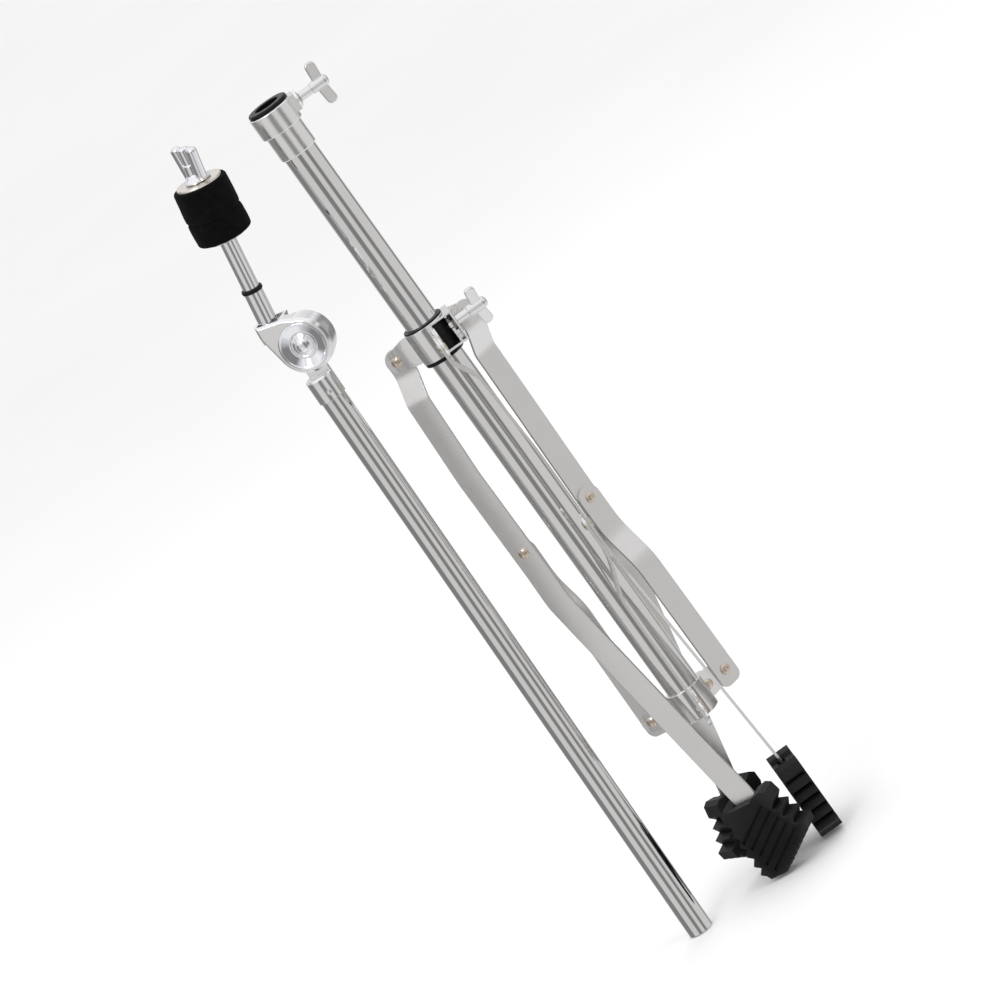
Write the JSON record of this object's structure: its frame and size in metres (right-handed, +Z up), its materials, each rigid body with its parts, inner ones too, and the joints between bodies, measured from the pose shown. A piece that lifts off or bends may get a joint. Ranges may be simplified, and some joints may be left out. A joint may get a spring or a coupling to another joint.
{
  "type": "cymbal stand",
  "caption": "Folding chrome cymbal stand in two sections: tripod base with clamp collar, and upper tube with ratchet tilter, felts and wing nut.",
  "frame": {"origin": "on the base tube's axis at the top face of the collar bush, the mouth the upper tube goes into", "axes": "+Z up the base tube, +X towards the clamp bolts, +Y away from the front leg"},
  "size_m": [0.146, 0.0895, 0.6796],
  "materials": {
    "tube_chrome": "polished chrome plate",
    "fitting_chrome": "polished chrome plate on cast and pressed metal",
    "strap_chrome": "flat strap, chrome plated, soft polish",
    "rivet_steel": "nickel plated rivets",
    "plated_steel": "plated steel",
    "black_nylon": "moulded nylon",
    "black_rubber": "moulded rubber",
    "black_felt": "pressed wool felt"
  },
  "bodies": {
    "base": {"base_tube": "tube_chrome", "collar_bush": "black_nylon", "tube_collar": "fitting_chrome", "collar_nut": "plated_steel", "lower_hub": "fitting_chrome", "lower_hub_rivets": "rivet_steel", "lower_hub_pinch_rivets": "rivet_steel"},
    "collar_bolt": {"collar_wing_bolt": "fitting_chrome"},
    "slider": {"upper_hub": "fitting_chrome", "hub_bush_top": "black_nylon", "hub_bush_bottom": "black_nylon", "hub_nut": "plated_steel", "hub_rivets": "rivet_steel"},
    "hub_bolt": {"hub_wing_bolt": "fitting_chrome"},
    "upper_tube": {"upper_tube": "tube_chrome", "upper_tube_plug": "black_nylon"},
    "socket": {"tilter_socket": "fitting_chrome", "ratchet_back": "plated_steel"},
    "head": {"tilter_head": "fitting_chrome", "tilter_cap": "fitting_chrome", "tilter_bolt": "plated_steel", "ratchet_front": "plated_steel", "tilter_spring": "plated_steel", "cymbal_rod": "fitting_chrome", "rod_ring": "black_rubber", "seat_washer": "plated_steel", "cymbal_sleeve": "black_nylon", "lower_felt": "black_felt", "upper_felt": "black_felt", "top_washer": "plated_steel"},
    "tilter_nut": {"tilter_wing_nut": "fitting_chrome"},
    "cymbal_nut": {"cymbal_wing_nut": "fitting_chrome"},
    "leg_1": {"leg_1": "strap_chrome", "foot_1": "black_rubber", "mid_rivet_leg_half_1": "rivet_steel"},
    "strut_1": {"strut_1": "strap_chrome", "mid_rivet_strut_half_1": "rivet_steel"},
    "leg_2": {"leg_2": "strap_chrome", "foot_2": "black_rubber", "mid_rivet_leg_half_2": "rivet_steel"},
    "strut_2": {"strut_2": "strap_chrome", "mid_rivet_strut_half_2": "rivet_steel"},
    "leg_3": {"leg_3": "strap_chrome", "foot_3": "black_rubber", "mid_rivet_leg_half_3": "rivet_steel"},
    "strut_3": {"strut_3": "strap_chrome", "mid_rivet_strut_half_3": "rivet_steel"}
  },
  "joints": [
    {"name": "fold_slide", "type": "slide", "parent": "base", "child": "slider", "axis": [0, 0, -1], "range_m": [0, 0.05289]},
    {"name": "collar_bolt_turn", "type": "hinge", "parent": "base", "child": "collar_bolt", "pos_m": [0.039, 0, -0.0095], "axis": [1, 0, 0], "range_deg": [0, 540]},
    {"name": "hub_bolt_turn", "type": "hinge", "parent": "slider", "child": "hub_bolt", "pos_m": [0.038, 0, -0.2035], "axis": [1, 0, 0], "range_deg": [0, 540]},
    {"name": "leg_1_hinge", "type": "hinge", "parent": "slider", "child": "leg_1", "pos_m": [0, -0.034, -0.206], "axis": [-1, 0, 0], "range_deg": [0, 33.24]},
    {"name": "strut_1_hinge", "type": "hinge", "parent": "base", "child": "strut_1", "pos_m": [0, -0.036, -0.5268], "axis": [1, 0, 0], "range_deg": [0, 34.56]},
    {"name": "leg_2_hinge", "type": "hinge", "parent": "slider", "child": "leg_2", "pos_m": [0.02944, 0.017, -0.206], "axis": [0.5, -0.866, 0], "range_deg": [0, 33.24]},
    {"name": "strut_2_hinge", "type": "hinge", "parent": "base", "child": "strut_2", "pos_m": [0.03118, 0.018, -0.5268], "axis": [-0.5, 0.866, 0], "range_deg": [0, 34.56]},
    {"name": "leg_3_hinge", "type": "hinge", "parent": "slider", "child": "leg_3", "pos_m": [-0.02944, 0.017, -0.206], "axis": [0.5, 0.866, 0], "range_deg": [0, 33.24]},
    {"name": "strut_3_hinge", "type": "hinge", "parent": "base", "child": "strut_3", "pos_m": [-0.03118, 0.018, -0.5268], "axis": [-0.5, -0.866, 0], "range_deg": [0, 34.56]},
    {"name": "height_slide", "type": "slide", "parent": "base", "child": "upper_tube", "axis": [0.0199, 0, 0.9998], "range_m": [0, 0.4]},
    {"name": "upper_swivel", "type": "hinge", "parent": "upper_tube", "child": "socket", "pos_m": [-0.08098, -0.014, -0.18496], "axis": [0.0199, 0, 0.9998], "range_deg": [-90, 0]},
    {"name": "tilter_hinge", "type": "hinge", "parent": "socket", "child": "head", "pos_m": [-0.07319, -0.0173, -0.14891], "axis": [-0.4225, -0.9063, 0.0084], "range_deg": [-75, 60]},
    {"name": "tilter_nut_turn", "type": "hinge", "parent": "head", "child": "tilter_nut", "pos_m": [-0.06685, -0.0037, -0.14904], "axis": [0.4225, 0.9063, -0.0084], "range_deg": [0, 540]},
    {"name": "cymbal_nut_turn", "type": "hinge", "parent": "head", "child": "cymbal_nut", "pos_m": [-0.06746, -0.01915, -0.00174], "axis": [0.1598, -0.0654, 0.985], "continuous": true}
  ],
  "couplings": [
    {"joint": "leg_1_hinge", "follows": "fold_slide", "rad_per_m": 10.869},
    {"joint": "strut_1_hinge", "follows": "fold_slide", "rad_per_m": 11.306},
    {"joint": "leg_2_hinge", "follows": "fold_slide", "rad_per_m": 10.869},
    {"joint": "strut_2_hinge", "follows": "fold_slide", "rad_per_m": 11.306},
    {"joint": "leg_3_hinge", "follows": "fold_slide", "rad_per_m": 10.869},
    {"joint": "strut_3_hinge", "follows": "fold_slide", "rad_per_m": 11.306}
  ]
}
